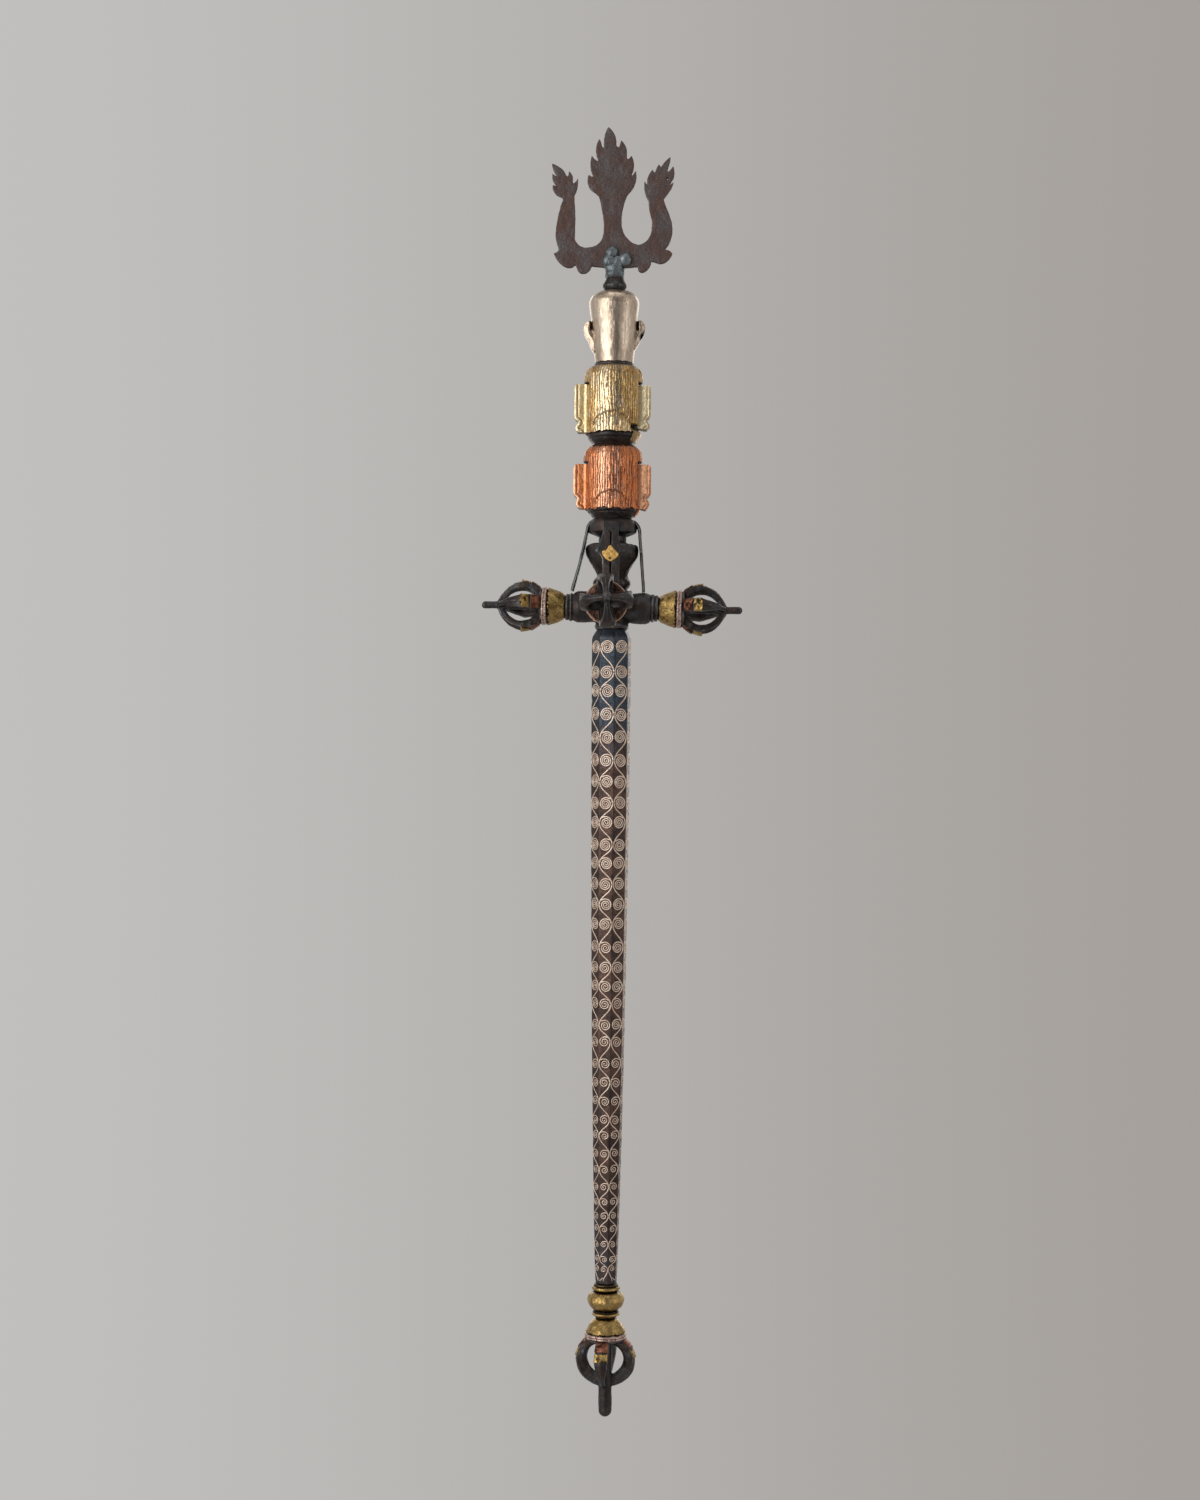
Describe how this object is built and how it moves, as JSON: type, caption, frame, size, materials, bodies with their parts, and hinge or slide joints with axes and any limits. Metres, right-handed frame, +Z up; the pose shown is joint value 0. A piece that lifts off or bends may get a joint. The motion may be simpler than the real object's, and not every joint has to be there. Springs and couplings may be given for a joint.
{
  "type": "khatvanga",
  "caption": "Himalayan iron khatvanga: octagonal shaft, crossed vajra, vase with scarf ribbons, copper and gold heads, silver skull and a flaming trident",
  "frame": {"origin": "Tip of the pommel, on the staff's axis. Bottom of the whole staff.", "axes": "+Z runs up the staff to the trident, the longest extent. The heads' faces look to +Y; hair and napes look to -Y, the side in the picture. +X is to the right of that side."},
  "size_m": [0.1218, 0.1218, 0.5999],
  "materials": {
    "dark_iron": "satin",
    "shaft_iron": "satin",
    "trident_iron": "matte",
    "blued_steel": "semi_gloss",
    "gilding": "semi_gloss",
    "copper_sheet": "semi_gloss",
    "silver_sheet": "semi_gloss",
    "rose_silver": "satin"
  },
  "bodies": {
    "root": {"pommel_prongs": "dark_iron", "pommel_copper_bands": "copper_sheet", "pommel_gold_bands": "gilding", "pommel_ring": "rose_silver", "pommel_cup": "gilding", "pommel_lower_ring": "gilding", "pommel_knop": "gilding", "pommel_top_ring": "gilding", "shaft": "shaft_iron", "cross_hub": "dark_iron", "left_arm_cup": "gilding", "left_arm_ring": "rose_silver", "left_arm_prongs": "dark_iron", "left_arm_copper_bands": "copper_sheet", "left_arm_gold_bands": "gilding", "right_arm_cup": "gilding", "right_arm_ring": "rose_silver", "right_arm_prongs": "dark_iron", "right_arm_copper_bands": "copper_sheet", "right_arm_gold_bands": "gilding", "rear_arm_cup": "gilding", "rear_arm_ring": "rose_silver", "rear_arm_prongs": "dark_iron", "rear_arm_copper_bands": "copper_sheet", "rear_arm_gold_bands": "gilding", "front_arm_cup": "gilding", "front_arm_ring": "rose_silver", "front_arm_prongs": "dark_iron", "front_arm_copper_bands": "copper_sheet", "front_arm_gold_bands": "gilding", "vase": "dark_iron", "scarf_disc": "dark_iron", "left_ribbon": "dark_iron", "right_ribbon": "dark_iron", "rear_ribbon": "dark_iron", "front_ribbon": "dark_iron", "ribbon_jewels": "gilding", "head_tang": "dark_iron", "lower_head_core": "dark_iron", "lower_head_overlay": "copper_sheet", "lower_head_left_ear": "copper_sheet", "lower_head_right_ear": "copper_sheet", "upper_head_core": "dark_iron", "upper_head_overlay": "gilding", "upper_head_left_ear": "gilding", "upper_head_right_ear": "gilding", "skull_collar": "dark_iron", "skull_core": "dark_iron", "skull_overlay": "silver_sheet", "skull_left_ear": "silver_sheet", "skull_right_ear": "silver_sheet", "trident_socket": "dark_iron", "trident_plate": "trident_iron", "rear_trident_jewels": "blued_steel", "front_trident_jewels": "blued_steel"}
  },
  "joints": []
}
